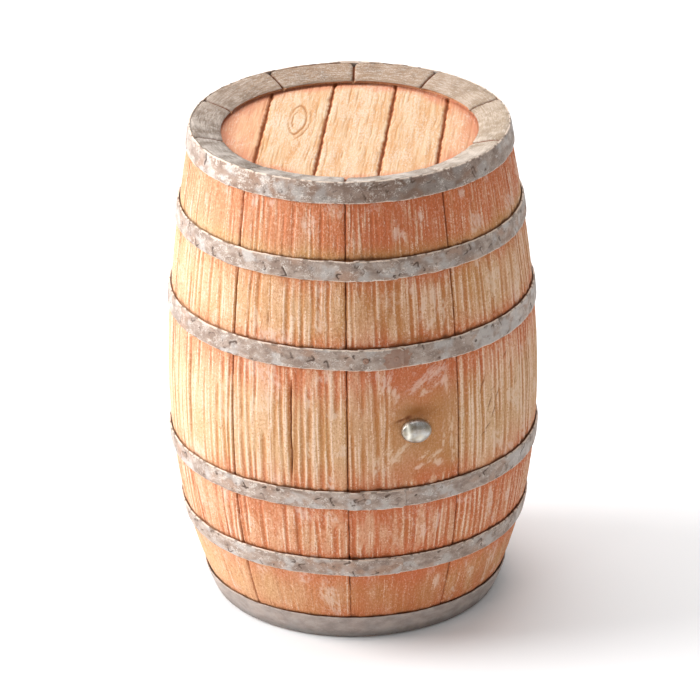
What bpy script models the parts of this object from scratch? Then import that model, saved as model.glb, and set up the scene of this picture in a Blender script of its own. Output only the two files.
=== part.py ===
"""Oak wine barrel: coopered staves, jointed and dowelled heads, riveted hoops and a bung that pulls out.

Units are metres and +Z is up. The origin is the centre of the base, and the bung leaves along -Y.
Angles round the barrel are in degrees, from the bung's axis (-Y) towards +X.
"""
import math

import bmesh
import bpy
import numpy as np
from mathutils import Matrix, Vector

# Barrel: outer radius of the wood at equally spaced heights, from the base to the top.
HEIGHT = 0.950
STATION_RADII = (0.2665, 0.3375, 0.3525, 0.3345, 0.2980)
TURNED_STEPS = 48
OUTER_ROWS = 10
GAP = 0.0003

# Staves: joint angles, thickness at the ends and in the middle, and the shape of the chime.
STAVE_JOINTS_DEG = (-21, 15, 51, 91, 127, 159, 192, 228, 264, 301)
STAVE_END_THICKNESS = 0.056
STAVE_MID_THICKNESS = 0.032
CHIME_LAND = 0.008
CHIME_DROP = 0.015
INNER_ROWS = 5

# Heads: boards jointed edge to edge and let into the croze, the groove inside the stave ends.
HEAD_DEPTH = 0.024
HEAD_THICKNESS = 0.030
HEAD_TONGUE = 0.010
HEAD_BEVEL = 0.022
CROZE_DEPTH = 0.008
GRAIN_DEG = 24.0
HEADS = {
    "top": {"side": 1, "joints": (-0.1640, -0.0485, 0.0700, 0.1740)},
    "bottom": {"side": -1, "joints": (-0.1350, -0.0450, 0.0450, 0.1350)},
}
DOWEL_RADIUS = 0.004
DOWEL_LENGTH = 0.044
DOWEL_SPACING = 0.110
DOWEL_SIDES = 8

# Hoops: steel strip, height of its lower and upper edge, and where the end of its lap lies.
HOOP_THICKNESS = 0.004
HOOP_CLEARANCE = 0.0005
HOOP_FACETS = 50
HOOPS = {
    "top_head_hoop": (0.909, 0.949, 168.0),
    "top_quarter_hoop": (0.765, 0.802, -3.5),
    "top_bilge_hoop": (0.594, 0.633, -3.5),
    "bottom_bilge_hoop": (0.309, 0.346, -3.5),
    "bottom_quarter_hoop": (0.159, 0.196, -3.5),
    "bottom_head_hoop": (0.003, 0.052, 168.0),
}
LAP_LENGTH = 0.084
LAP_FACETS = 3
LAP_RAMP_DEG = 6.0
LAP_SETBACK_DEG = 0.3
RIVET_SHANK_RADIUS = 0.0027
RIVET_HEAD_RADIUS = 0.006
RIVET_HEAD_HEIGHT = 0.003
RIVET_HOLE_LENGTH = 0.030
RIVET_SIDES = 8

# Bung: a tapered stopper, hollow from its inner end, with an oval metal cap on a stem pressed into it.
BUNG_HEIGHT = 0.463
BUNG_OUTER_RADIUS = 0.0215
BUNG_INNER_RADIUS = 0.0200
BUNG_LENGTH = 0.040
BUNG_CROWN = 0.014
BUNG_HOLLOW_RADIUS = 0.0170
CAP_HALF_WIDTH = 0.030
CAP_HALF_HEIGHT = 0.0225
CAP_PROUD = 0.0115
CAP_ROWS = 7
STEM_RADIUS = 0.006
STEM_LENGTH = 0.010
STEM_SIDES = 12
BUNG_SIDES = 24

# Cutters run past what they cut. The wider reach is from the axis out past the staves.
CUTTER_OVERRUN = 0.010
CUTTER_REACH = 0.6
CUTTER_SPAN = (-0.05, HEIGHT + 0.05)

# Meshing: the welding distance, and the angles above which an edge stays sharp.
MERGE_DISTANCE = 0.0001
SHARP_TURNED_DEG = 30
SHARP_DOME_DEG = 40
SHARP_CYLINDER_DEG = 50

OAK = (0.62, 0.36, 0.18)
HEAD_OAK = (0.72, 0.47, 0.28)
DOWEL_OAK = (0.55, 0.36, 0.20)
STEEL = (0.30, 0.28, 0.26)
PEWTER = (0.62, 0.62, 0.60)
SILICONE = (0.46, 0.36, 0.27)

PROFILE_POLYNOMIAL = np.polyfit(np.linspace(0, 1, len(STATION_RADII)), STATION_RADII, 4)


def outer_radius(z):
    """Radius of the wood's outer face at height z."""
    return float(np.polyval(PROFILE_POLYNOMIAL, z / HEIGHT))


def inner_radius(z):
    """Radius of the wood's inner face at height z: staves are hollowed towards the middle."""
    from_middle = 2 * z / HEIGHT - 1
    extra = STAVE_END_THICKNESS - STAVE_MID_THICKNESS
    return outer_radius(z) - STAVE_MID_THICKNESS - extra * from_middle**2


def on_circle(radius, degrees, z=0.0):
    """Point at an angle round the barrel."""
    angle = math.radians(degrees)
    return Vector((radius * math.sin(angle), -radius * math.cos(angle), z))


def clear_scene():
    for obj in list(bpy.data.objects):
        bpy.data.objects.remove(obj, do_unlink=True)


def new_collection(name):
    collection = bpy.data.collections.new(name)
    bpy.context.scene.collection.children.link(collection)
    return collection


def new_material(name, colour, roughness, metallic=0.0):
    material = bpy.data.materials.new(name)
    material.use_nodes = True
    shader = material.node_tree.nodes["Principled BSDF"]
    shader.inputs["Base Color"].default_value = (*colour, 1.0)
    shader.inputs["Roughness"].default_value = roughness
    shader.inputs["Metallic"].default_value = metallic
    material.diffuse_color = (*colour, 1.0)
    return material


def new_object(name, mesh, collection, material=None):
    obj = bpy.data.objects.new(name, mesh)
    collection.objects.link(obj)
    if material:
        mesh.materials.append(material)
    return obj


def mark_cutter(obj):
    obj.hide_render = True
    obj.display_type = "WIRE"
    return obj


def turned_mesh(name, profile, steps, closed=False, smooth_deg=SHARP_TURNED_DEG):
    """Mesh of a profile of (radius, height) points turned round Z by a Screw modifier."""
    count = len(profile)
    edges = [(i, (i + 1) % count) for i in range(count if closed else count - 1)]
    outline = bpy.data.meshes.new(name + "_profile")
    outline.from_pydata([(radius, 0.0, z) for radius, z in profile], edges, [])
    holder = bpy.data.objects.new(name + "_profile", outline)
    bpy.context.scene.collection.objects.link(holder)
    screw = holder.modifiers.new("Turn", "SCREW")
    screw.steps = steps
    screw.render_steps = steps
    screw.use_merge_vertices = True
    screw.merge_threshold = MERGE_DISTANCE
    mesh = bpy.data.meshes.new_from_object(holder.evaluated_get(bpy.context.evaluated_depsgraph_get()))
    mesh.name = name
    bpy.data.objects.remove(holder, do_unlink=True)
    mesh.shade_smooth()
    mesh.set_sharp_from_angle(angle=math.radians(smooth_deg))
    return mesh


def cylinder_mesh(name, radius, length, sides, end_radius=None):
    """Cylinder or cone along Z, centred on its middle."""
    mesh = bpy.data.meshes.new(name)
    bm = bmesh.new()
    end = radius if end_radius is None else end_radius
    bmesh.ops.create_cone(
        bm, cap_ends=True, segments=sides, radius1=radius, radius2=end, depth=length
    )
    bm.to_mesh(mesh)
    bm.free()
    mesh.shade_smooth()
    mesh.set_sharp_from_angle(angle=math.radians(SHARP_CYLINDER_DEG))
    return mesh


def prism_mesh(name, outline, low, high):
    """A flat outline of (x, y) points, extruded from one height to another."""
    mesh = bpy.data.meshes.new(name)
    bm = bmesh.new()
    base = bm.faces.new([bm.verts.new((x, y, low)) for x, y in outline])
    top = bmesh.ops.extrude_face_region(bm, geom=[base], use_keep_orig=True)["geom"]
    bmesh.ops.translate(
        bm,
        verts=[part for part in top if isinstance(part, bmesh.types.BMVert)],
        vec=(0, 0, high - low),
    )
    bmesh.ops.recalc_face_normals(bm, faces=bm.faces)
    bm.to_mesh(mesh)
    bm.free()
    return mesh


def add_boolean(obj, operation, other):
    boolean = obj.modifiers.new(operation.title(), "BOOLEAN")
    boolean.operation = operation
    boolean.solver = "EXACT"
    boolean.object = other


def along(direction):
    """Rotation that turns local Z to a direction."""
    return Vector(direction).to_track_quat("Z", "Y").to_euler()


def shell_profile():
    """Section of the wall of staves: outer face, base chime, croze, inner face, croze, top chime."""
    top, base = HEIGHT, 0.0
    points = [(outer_radius(z), z) for z in np.linspace(top, base, OUTER_ROWS + 1)]
    points.append((outer_radius(base) - CHIME_LAND, base))
    points.append((inner_radius(base), base + CHIME_DROP))
    low_groove = groove(-1)
    high_groove = groove(1)
    points += low_groove
    inner_heights = np.linspace(low_groove[-1][1], high_groove[0][1], INNER_ROWS + 2)[1:-1]
    points += [(inner_radius(z), z) for z in inner_heights]
    points += high_groove
    points.append((inner_radius(top), top - CHIME_DROP))
    points.append((outer_radius(top) - CHIME_LAND, top))
    return points


def face_height(side):
    """Height of a head's outer face; side is 1 for the top head and -1 for the bottom one."""
    return HEIGHT - HEAD_DEPTH if side > 0 else HEAD_DEPTH


def groove(side):
    """Four corners of the croze, from the lowest up."""
    outer = face_height(side) + side * GAP
    inner = face_height(side) - side * (HEAD_TONGUE + GAP)
    low, high = sorted((outer, inner))
    floor = inner_radius((low + high) / 2) + CROZE_DEPTH
    return [(inner_radius(low), low), (floor, low), (floor, high), (inner_radius(high), high)]


def head_profile(side):
    """Half section of a head, down its outer side: tongue at the outer face, bevel at the inner."""
    face = face_height(side)
    shoulder = face - side * HEAD_TONGUE
    back = face - side * HEAD_THICKNESS
    wall = inner_radius(shoulder)
    tongue = inner_radius((face + shoulder) / 2) + CROZE_DEPTH - 2 * GAP
    neck = min(wall, inner_radius(face)) - 2 * GAP
    points = [
        (0.0, face),
        (tongue, face),
        (tongue, shoulder),
        (neck, shoulder),
        (neck - HEAD_BEVEL, back),
        (0.0, back),
    ]
    return points if side > 0 else points[::-1]


def wedge_outline(start, end):
    """Triangle from the barrel's axis that holds one stave, half a gap inside each joint."""
    half = math.radians(end - start) / 2
    middle = (start + end) / 2
    apex = GAP / 2 / math.sin(half)
    corners = [(apex, 0.0), (CUTTER_REACH, math.tan(half)), (CUTTER_REACH, -math.tan(half))]
    outline = []
    for out, slope in corners:
        point = on_circle(out, middle) + on_circle((out - apex) * slope, middle + 90)
        outline.append((point.x, point.y))
    return outline


def build_staves(parts, cutters, material):
    """Each stave is the turned wall cut by a wedge. Returns the stave that carries the bung."""
    names = ["bung_stave"] + [f"stave_{i:02d}" for i in range(2, len(STAVE_JOINTS_DEG) + 1)]
    ends = STAVE_JOINTS_DEG[1:] + (STAVE_JOINTS_DEG[0] + 360,)
    wall = turned_mesh("stave_wall", shell_profile(), TURNED_STEPS, closed=True)
    wall.materials.append(material)
    staves = []
    for name, start, end in zip(names, STAVE_JOINTS_DEG, ends):
        stave = new_object(name, wall, parts)
        outline = wedge_outline(start, end)
        wedge = new_object(name + "_wedge", prism_mesh(name, outline, *CUTTER_SPAN), cutters)
        add_boolean(stave, "INTERSECT", mark_cutter(wedge))
        staves.append(stave)
    return staves[0]


def build_head(prefix, side, joints, parts, cutters, materials):
    """Boards cut from one turned disc, with dowels across their joints."""
    grain = on_circle(1.0, 180 - GRAIN_DEG)
    across = grain.cross(Vector((0, 0, 1)))
    disc = turned_mesh(prefix + "_head", head_profile(side), TURNED_STEPS)
    disc.materials.append(materials["head"])
    edges = (-CUTTER_REACH,) + joints + (CUTTER_REACH,)
    boards = []
    for number, (left, right) in enumerate(zip(edges, edges[1:]), 1):
        name = f"{prefix}_head_board_{number}"
        board = new_object(name, disc, parts)
        corners = [(left + GAP / 2, -CUTTER_REACH), (right - GAP / 2, -CUTTER_REACH)]
        corners += [(right - GAP / 2, CUTTER_REACH), (left + GAP / 2, CUTTER_REACH)]
        outline = [(across * u + grain * v).to_2d() for u, v in corners]
        strip = new_object(name + "_strip", prism_mesh(name, outline, *CUTTER_SPAN), cutters)
        add_boolean(board, "INTERSECT", mark_cutter(strip))
        boards.append(board)
    height = face_height(side) - side * HEAD_THICKNESS / 2
    hole = cylinder_mesh("dowel_hole", DOWEL_RADIUS + GAP, DOWEL_LENGTH + 4 * GAP, DOWEL_SIDES)
    peg = cylinder_mesh("dowel", DOWEL_RADIUS, DOWEL_LENGTH, DOWEL_SIDES)
    peg.materials.append(materials["dowel"])
    for joint, offset in enumerate(joints, 1):
        for letter, shift in (("a", -DOWEL_SPACING / 2), ("b", DOWEL_SPACING / 2)):
            name = f"{prefix}_dowel_{joint}{letter}"
            place = across * offset + grain * shift + Vector((0, 0, height))
            cutter = mark_cutter(new_object(name + "_hole", hole, cutters))
            dowel = new_object(name, peg, parts)
            for item in (cutter, dowel):
                item.location = place
                item.rotation_euler = along(across)
            for board in (boards[joint - 1], boards[joint]):
                add_boolean(board, "DIFFERENCE", cutter)


def lap_span(low, high):
    """Angle that a hoop's lap covers."""
    return math.degrees(LAP_LENGTH / outer_radius((low + high) / 2))


def facet_factor():
    """Radius of a faceted hoop's corners over the radius that its facets clear."""
    return 1 / math.cos(math.pi / HOOP_FACETS)


def hoop_slope(low, high):
    """Angle of a hoop's flare from the vertical."""
    return math.atan2(outer_radius(high) - outer_radius(low), high - low)


def hoop_path(low, high, lap_end):
    """(angle, lift) along the strip: once round, up a ramp, and over its own first end."""
    span = lap_span(low, high)
    lift = (HOOP_THICKNESS + GAP) / math.cos(hoop_slope(low, high))
    start = lap_end - 360 - span
    lap = np.linspace(0, span, LAP_FACETS + 1)
    ramp_end = lap_end - span - LAP_SETBACK_DEG
    ramp_start = ramp_end - LAP_RAMP_DEG
    body = np.linspace(start + span, ramp_start, HOOP_FACETS)
    under = [(start + angle, 0.0) for angle in lap[:-1]]
    around = [(angle, 0.0) for angle in body]
    over = [(ramp_end, lift)] + [(lap_end - span + angle, lift) for angle in lap]
    return under + around + over


def hoop_mesh(name, low, high, lap_end):
    """Strip's inner face as a grid, wrapped round the barrel's taper."""
    path = hoop_path(low, high, lap_end)
    mesh = bpy.data.meshes.new(name)
    bm = bmesh.new()
    bmesh.ops.create_grid(bm, x_segments=len(path) - 1, y_segments=1, size=1.0)
    for vert in bm.verts:
        column = round((vert.co.x + 1) / 2 * (len(path) - 1))
        z = low if vert.co.y < 0 else high
        angle, lift = path[column]
        radius = (outer_radius(z) + HOOP_CLEARANCE) * facet_factor() + lift
        vert.co = on_circle(radius, angle, z)
    bm.to_mesh(mesh)
    bm.free()
    return mesh


def rivet_profile():
    """Domed head, then the shank through both layers of the lap."""
    seat = 2 * HOOP_THICKNESS + 2 * GAP
    dome = [
        (RIVET_HEAD_RADIUS * math.sin(angle), seat + RIVET_HEAD_HEIGHT * math.cos(angle))
        for angle in np.linspace(0, math.pi / 2, 4)
    ]
    dome[0] = (0.0, seat + RIVET_HEAD_HEIGHT)
    return dome + [(RIVET_SHANK_RADIUS, seat), (RIVET_SHANK_RADIUS, 0.0), (0.0, 0.0)]


def build_hoops(parts, cutters, materials):
    """Six flared strips, each riveted where it laps over itself."""
    rivet_mesh = turned_mesh("rivet", rivet_profile(), RIVET_SIDES)
    rivet_mesh.materials.append(materials["rivet"])
    hole_mesh = cylinder_mesh("rivet_hole", RIVET_SHANK_RADIUS + GAP, RIVET_HOLE_LENGTH, RIVET_SIDES)
    for name, (low, high, lap_end) in HOOPS.items():
        hoop = new_object(name, hoop_mesh(name, low, high, lap_end), parts, materials["hoop"])
        hoop.data.shade_smooth()
        hoop.data.set_sharp_from_angle(angle=math.radians(SHARP_TURNED_DEG))
        solidify = hoop.modifiers.new("Thickness", "SOLIDIFY")
        solidify.thickness = HOOP_THICKNESS
        solidify.offset = 1.0
        solidify.use_even_offset = True
        facet = lap_span(low, high) / LAP_FACETS
        slope = hoop_slope(low, high)
        middle = (low + high) / 2
        corner = (outer_radius(low) + outer_radius(high)) / 2 + HOOP_CLEARANCE
        radius = corner * facet_factor() * math.cos(math.radians(facet) / 2)
        for letter, facets_back in (("a", LAP_FACETS - 0.5), ("b", 0.5)):
            angle = lap_end - facet * facets_back
            outward = on_circle(math.cos(slope), angle, -math.sin(slope))
            hole = mark_cutter(new_object(f"{name}_hole_{letter}", hole_mesh, cutters))
            rivet = new_object(f"{name}_rivet_{letter}", rivet_mesh, parts)
            for item in (hole, rivet):
                item.location = on_circle(radius, angle, middle)
                item.rotation_euler = along(outward)
            add_boolean(hoop, "DIFFERENCE", hole)


def bung_cutter(name, cutters, axis, top, bottom, radius, top_radius=None, sides=BUNG_SIDES):
    """Round cutter on the bung's axis, between two distances along it."""
    mesh = cylinder_mesh(name, radius, top - bottom, sides, top_radius)
    cutter = mark_cutter(new_object(name, mesh, cutters))
    cutter.parent = axis
    cutter.location.z = (top + bottom) / 2
    return cutter


def build_bung(parts, cutters, stave, materials):
    """Hollow stopper in the stave's tapered hole, and a domed oval cap on a stem."""
    axis = bpy.data.objects.new("bung_axis", None)
    parts.objects.link(axis)
    axis.location = (0, -outer_radius(BUNG_HEIGHT), BUNG_HEIGHT)
    axis.rotation_euler = (math.radians(90), 0, 0)

    taper = (BUNG_OUTER_RADIUS - BUNG_INNER_RADIUS) / BUNG_LENGTH
    wide = BUNG_OUTER_RADIUS + GAP + taper * CUTTER_OVERRUN
    narrow = BUNG_INNER_RADIUS + GAP - taper * CUTTER_OVERRUN
    hole_end = -BUNG_LENGTH - CUTTER_OVERRUN
    hole = bung_cutter("bung_hole", cutters, axis, CUTTER_OVERRUN, hole_end, narrow, wide)
    add_boolean(stave, "DIFFERENCE", hole)

    plug_mesh = cylinder_mesh("bung_plug", BUNG_INNER_RADIUS, BUNG_LENGTH, BUNG_SIDES, BUNG_OUTER_RADIUS)
    plug = new_object("bung_plug", plug_mesh, parts, materials["plug"])
    plug.parent = axis
    plug.location.z = -BUNG_LENGTH / 2
    hollow = bung_cutter("plug_hollow", cutters, axis, -BUNG_CROWN, hole_end, BUNG_HOLLOW_RADIUS)
    add_boolean(plug, "DIFFERENCE", hollow)
    bore_end = -STEM_LENGTH - GAP
    bore = bung_cutter("stem_bore", cutters, axis, -bore_end, bore_end, STEM_RADIUS + GAP, sides=STEM_SIDES)
    add_boolean(plug, "DIFFERENCE", bore)

    dome = [
        (CAP_HALF_HEIGHT * math.sin(angle), CAP_PROUD * math.cos(angle))
        for angle in np.linspace(0, math.pi / 2, CAP_ROWS)
    ]
    dome[0] = (0.0, CAP_PROUD)
    cap_mesh = turned_mesh("bung_cap", dome + [(0.0, 0.0)], BUNG_SIDES, smooth_deg=SHARP_DOME_DEG)
    cap_mesh.transform(Matrix.Diagonal((CAP_HALF_WIDTH / CAP_HALF_HEIGHT, 1, 1, 1)))
    cap = new_object("bung_cap", cap_mesh, parts, materials["cap"])
    cap.parent = axis
    cap.location.z = GAP
    stem = bung_cutter(
        "cap_stem", cutters, axis, CAP_PROUD / 2, -STEM_LENGTH, STEM_RADIUS, sides=STEM_SIDES
    )
    add_boolean(cap, "UNION", stem)


def main():
    clear_scene()
    parts = new_collection("oak_wine_barrel")
    cutters = new_collection("cutters")
    materials = {
        "stave": new_material("stave_oak", OAK, 0.62),
        "head": new_material("head_oak", HEAD_OAK, 0.66),
        "dowel": new_material("dowel_oak", DOWEL_OAK, 0.70),
        "hoop": new_material("hoop_steel", STEEL, 0.50, 0.85),
        "rivet": new_material("rivet_steel", STEEL, 0.45, 0.85),
        "plug": new_material("plug_silicone", SILICONE, 0.55),
        "cap": new_material("cap_pewter", PEWTER, 0.28, 1.0),
    }
    bung_stave = build_staves(parts, cutters, materials["stave"])
    for prefix, head in HEADS.items():
        build_head(prefix, head["side"], head["joints"], parts, cutters, materials)
    build_hoops(parts, cutters, materials)
    build_bung(parts, cutters, bung_stave, materials)


main()
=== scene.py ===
"""Oak wine barrel: the looks. Dense carved staves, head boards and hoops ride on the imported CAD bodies.

Units are metres and +Z is up. Angles round the barrel are in degrees, from the bung's axis (-Y) towards +X.
"""
import math

import bpy
import numpy as np
from mathutils import Matrix, Vector


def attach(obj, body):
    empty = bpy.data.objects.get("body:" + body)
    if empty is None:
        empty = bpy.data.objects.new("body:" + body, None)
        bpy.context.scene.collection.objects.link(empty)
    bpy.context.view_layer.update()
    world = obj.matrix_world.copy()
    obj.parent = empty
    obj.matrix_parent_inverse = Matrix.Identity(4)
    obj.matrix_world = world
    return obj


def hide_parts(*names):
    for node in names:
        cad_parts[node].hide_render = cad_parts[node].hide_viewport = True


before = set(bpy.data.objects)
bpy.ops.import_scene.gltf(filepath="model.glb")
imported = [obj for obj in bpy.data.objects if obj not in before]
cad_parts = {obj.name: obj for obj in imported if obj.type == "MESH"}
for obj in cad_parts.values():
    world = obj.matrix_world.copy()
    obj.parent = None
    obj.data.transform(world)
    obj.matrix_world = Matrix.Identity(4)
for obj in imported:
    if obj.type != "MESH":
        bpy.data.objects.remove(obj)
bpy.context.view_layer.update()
scene = bpy.context.scene

# Barrel, as in the CAD part.
HEIGHT = 0.950
STATION_RADII = (0.2665, 0.3375, 0.3525, 0.3345, 0.2980)
STAVE_JOINTS_DEG = (-21, 15, 51, 91, 127, 159, 192, 228, 264, 301)
STAVE_NAMES = ["bung_stave"] + [f"stave_{i:02d}" for i in range(2, 11)]
STAVE_END_THICKNESS = 0.056
STAVE_MID_THICKNESS = 0.032
CHIME_DROP = 0.015
GAP = 0.0003
HEAD_DEPTH = 0.024
HEAD_THICKNESS = 0.030
HEAD_TONGUE = 0.010
HEAD_BEVEL = 0.022
CROZE_DEPTH = 0.008
GRAIN_DEG = 24.0
# Each head's side of the barrel, and where its boards' joints are.
HEADS = {"top": (1, (-0.1640, -0.0485, 0.0700, 0.1740)), "bottom": (-1, (-0.1350, -0.0450, 0.0450, 0.1350))}
HOOP_THICKNESS = 0.004
HOOP_CLEARANCE = 0.0005
HOOPS = {
    "top_head_hoop": (0.909, 0.949, 168.0),
    "top_quarter_hoop": (0.765, 0.802, -3.5),
    "top_bilge_hoop": (0.594, 0.633, -3.5),
    "bottom_bilge_hoop": (0.309, 0.346, -3.5),
    "bottom_quarter_hoop": (0.159, 0.196, -3.5),
    "bottom_head_hoop": (0.003, 0.052, 168.0),
}
LAP_LENGTH = 0.084
LAP_RAMP_DEG = 6.0
LAP_SETBACK_DEG = 0.3
BUNG_HEIGHT = 0.463
BUNG_RADII = (0.0215, 0.0200)
BUNG_LENGTH = 0.040
BUNG_CROWN = 0.014
BUNG_HOLLOW_RADIUS = 0.0170
CAP_HALF_WIDTH = 0.030
CAP_HALF_HEIGHT = 0.0236
CAP_ASKEW_DEG = -8.0

PROFILE = np.polyfit(np.linspace(0, 1, len(STATION_RADII)), STATION_RADII, 4)
HOOP_SPANS = sorted((low, high) for low, high, _ in HOOPS.values())
BANDS = [(a[1], b[0]) for a, b in zip(HOOP_SPANS, HOOP_SPANS[1:])]
ARC_RADIUS = 0.345


def outer_radius(z):
    return np.polyval(PROFILE, np.asarray(z) / HEIGHT)


def inner_radius(z):
    z = np.asarray(z)
    extra = STAVE_END_THICKNESS - STAVE_MID_THICKNESS
    return outer_radius(z) - STAVE_MID_THICKNESS - extra * (2 * z / HEIGHT - 1) ** 2


def smooth(low, high, x):
    """0 below low, 1 above high, and a smooth step between."""
    t = np.clip((np.asarray(x, float) - low) / (high - low), 0, 1)
    return t * t * (3 - 2 * t)


def bell(x, width):
    return np.exp(-np.square(np.asarray(x) / width))


def noise1(x, seed):
    """Smooth noise from -1 to 1 along a line, one knot per unit."""
    table = np.random.default_rng(seed).uniform(-1, 1, 512)
    i = np.floor(x).astype(int)
    f = x - i
    f = f * f * (3 - 2 * f)
    return table[i % 512] * (1 - f) + table[(i + 1) % 512] * f


def noise2(x, y, seed):
    """Smooth noise from -1 to 1 over a plane, one knot per unit square."""
    table = np.random.default_rng(seed).uniform(-1, 1, (256, 256))
    i, j = np.floor(x).astype(int), np.floor(y).astype(int)
    f, g = x - i, y - j
    f, g = f * f * (3 - 2 * f), g * g * (3 - 2 * g)
    i0, i1, j0, j1 = i % 256, (i + 1) % 256, j % 256, (j + 1) % 256
    low = table[i0, j0] * (1 - f) + table[i1, j0] * f
    high = table[i0, j1] * (1 - f) + table[i1, j1] * f
    return low * (1 - g) + high * g


def around(radius, degrees, z):
    """Points at radius and angle, as an array of shape (..., 3)."""
    a = np.radians(degrees)
    radius, a, z = np.broadcast_arrays(radius, a, z)
    return np.stack([radius * np.sin(a), -radius * np.cos(a), z], axis=-1)


# Meshes ----------


def ring_faces(rows, columns, closed_rows=True, closed_columns=False):
    """Quads of a grid numbered row by row."""
    r = np.arange(rows if closed_rows else rows - 1)
    c = np.arange(columns if closed_columns else columns - 1)
    r, c = np.meshgrid(r, c, indexing="ij")
    r1, c1 = (r + 1) % rows, (c + 1) % columns
    quads = np.stack([r * columns + c, r * columns + c1, r1 * columns + c1, r1 * columns + c], -1)
    return quads.reshape(-1, 4)


def make_mesh(name, points, quads, polygons=()):
    mesh = bpy.data.meshes.new(name)
    points = np.asarray(points, np.float32).reshape(-1, 3)
    loops = np.concatenate([np.asarray(quads).ravel(), *[np.asarray(p).ravel() for p in polygons]])
    sizes = np.concatenate([np.full(len(quads), 4), [len(p) for p in polygons]]).astype(np.int32)
    mesh.vertices.add(len(points))
    mesh.vertices.foreach_set("co", points.ravel())
    mesh.loops.add(len(loops))
    mesh.loops.foreach_set("vertex_index", loops.astype(np.int32))
    mesh.polygons.add(len(sizes))
    starts = np.concatenate([[0], np.cumsum(sizes)[:-1]]).astype(np.int32)
    mesh.polygons.foreach_set("loop_start", starts)
    mesh.update(calc_edges=True)
    mesh.validate()
    return mesh


def swept_mesh(name, points):
    """Closed solid: the rows of points go round its section, and the columns along it from end to end."""
    rows, columns = points.shape[:2]
    ring = np.arange(rows) * columns
    return make_mesh(name, points, ring_faces(rows, columns), [ring, ring[::-1] + columns - 1])


def turned_mesh(name, profile, steps, stretch=1.0):
    """Closed turned solid: the profile runs from the middle of the underside out, up and in to the top."""
    profile = np.asarray(profile, float)
    angle = np.linspace(0, 360, steps, endpoint=False)[None, :]
    points = around(profile[:, :1], angle, profile[:, 1:])
    points[..., 0] *= stretch
    quads = ring_faces(len(profile), steps, closed_rows=False, closed_columns=True)
    last = (len(profile) - 1) * steps
    return make_mesh(name, points, quads, [np.arange(steps)[::-1], np.arange(steps) + last])


def add_object(name, data):
    added = bpy.data.objects.new(name, data)
    scene.collection.objects.link(added)
    return added


def new_piece(node, mesh, material, body, sharp=50):
    """Shows the mesh instead of one CAD node; edges over the sharp angle in degrees stay sharp."""
    mesh.materials.clear()
    mesh.materials.append(material)
    mesh.shade_smooth()
    mesh.set_sharp_from_angle(angle=math.radians(sharp))
    piece = add_object(mesh.name, mesh)
    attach(piece, body)
    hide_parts(node)


def mesh_points(mesh):
    co = np.zeros(len(mesh.vertices) * 3, np.float32)
    mesh.vertices.foreach_get("co", co)
    return co.reshape(-1, 3).astype(float)


def set_points(mesh, co):
    mesh.vertices.foreach_set("co", co.astype(np.float32).ravel())
    mesh.update()


def set_attributes(mesh, grain, **values):
    """Stores on each point its place across, under and along the grain, and what the material reads there."""
    grain = np.stack(np.broadcast_arrays(*grain), axis=-1).astype(np.float32)
    for name, value in values.items():
        value = np.broadcast_to(value, grain.shape[:-1]).astype(np.float32)
        mesh.attributes.new(name, "FLOAT", "POINT").data.foreach_set("value", value.ravel())
    mesh.attributes.new("grain", "FLOAT_VECTOR", "POINT").data.foreach_set("vector", grain.ravel())


# Staves ----------


def stave_span(stave):
    """The angles of a stave's two joints."""
    return STAVE_JOINTS_DEG[stave], (*STAVE_JOINTS_DEG, STAVE_JOINTS_DEG[0] + 360)[stave + 1]


MM = 0.001
# Marks on the staves, each with its angle first, lengths in millimetres and tilts in degrees above level.
# Splits inside a stave: lowest and highest point, depth, half width.
SPLITS = np.array((
    (-38.4, 350, 588, 6, 2.2), (-38, 200, 306, 3, 1.6), (-46.5, 650, 720, 4, 1.4), (-80, 360, 585, 3.5, 3),
    (-80.5, 812, 860, 2.5, 1.4), (62, 640, 730, 3.5, 1.5), (74, 350, 520, 4.5, 1.8),
    (108, 400, 590, 5, 1.8), (146, 350, 500, 4.5, 1.7), (172, 420, 590, 5, 1.8), (210, 350, 540, 5.5, 2),
    (247, 205, 300, 3.5, 1.6), (215, 640, 740, 4, 1.5),
)) * (1, MM, MM, MM, MM)
# Short scratches across the grain: height, half length, half width, tilt, depth.
SCRATCHES = np.array((
    (-4.4, 486.6, 23, 3.2, 14, 1.9), (-2.2, 490, 13, 5.6, 18, 2), (2.2, 492, 10, 3.6, -14, 1.2),
    (-10.8, 390.8, 11, 1.1, 20, 1), (24.6, 518, 28, 1.3, 66, 2), (27.6, 476, 23, 1.4, 64, 2.2),
    (29.4, 456, 22, 1.4, 60, 2.2), (31.2, 486, 18, 1.3, 58, 2), (26.6, 430, 15, 1.4, 35, 2),
    (24.8, 418, 12, 1.3, 28, 1.8), (29, 501, 12, 1.3, 10, 1.8), (38.5, 530, 16, 1.3, 55, 2),
    (41, 490, 14, 1.3, 62, 1.8), (36, 556, 14, 1.3, 40, 1.8), (-44, 535, 4, 1.3, 80, 1.2),
    (118, 470, 15, 1, 40, 1), (205, 450, 14, 1, -50, 1), (262, 500, 13, 1, 30, 1),
)) * (1, MM, MM, MM, 1, MM)
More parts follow.
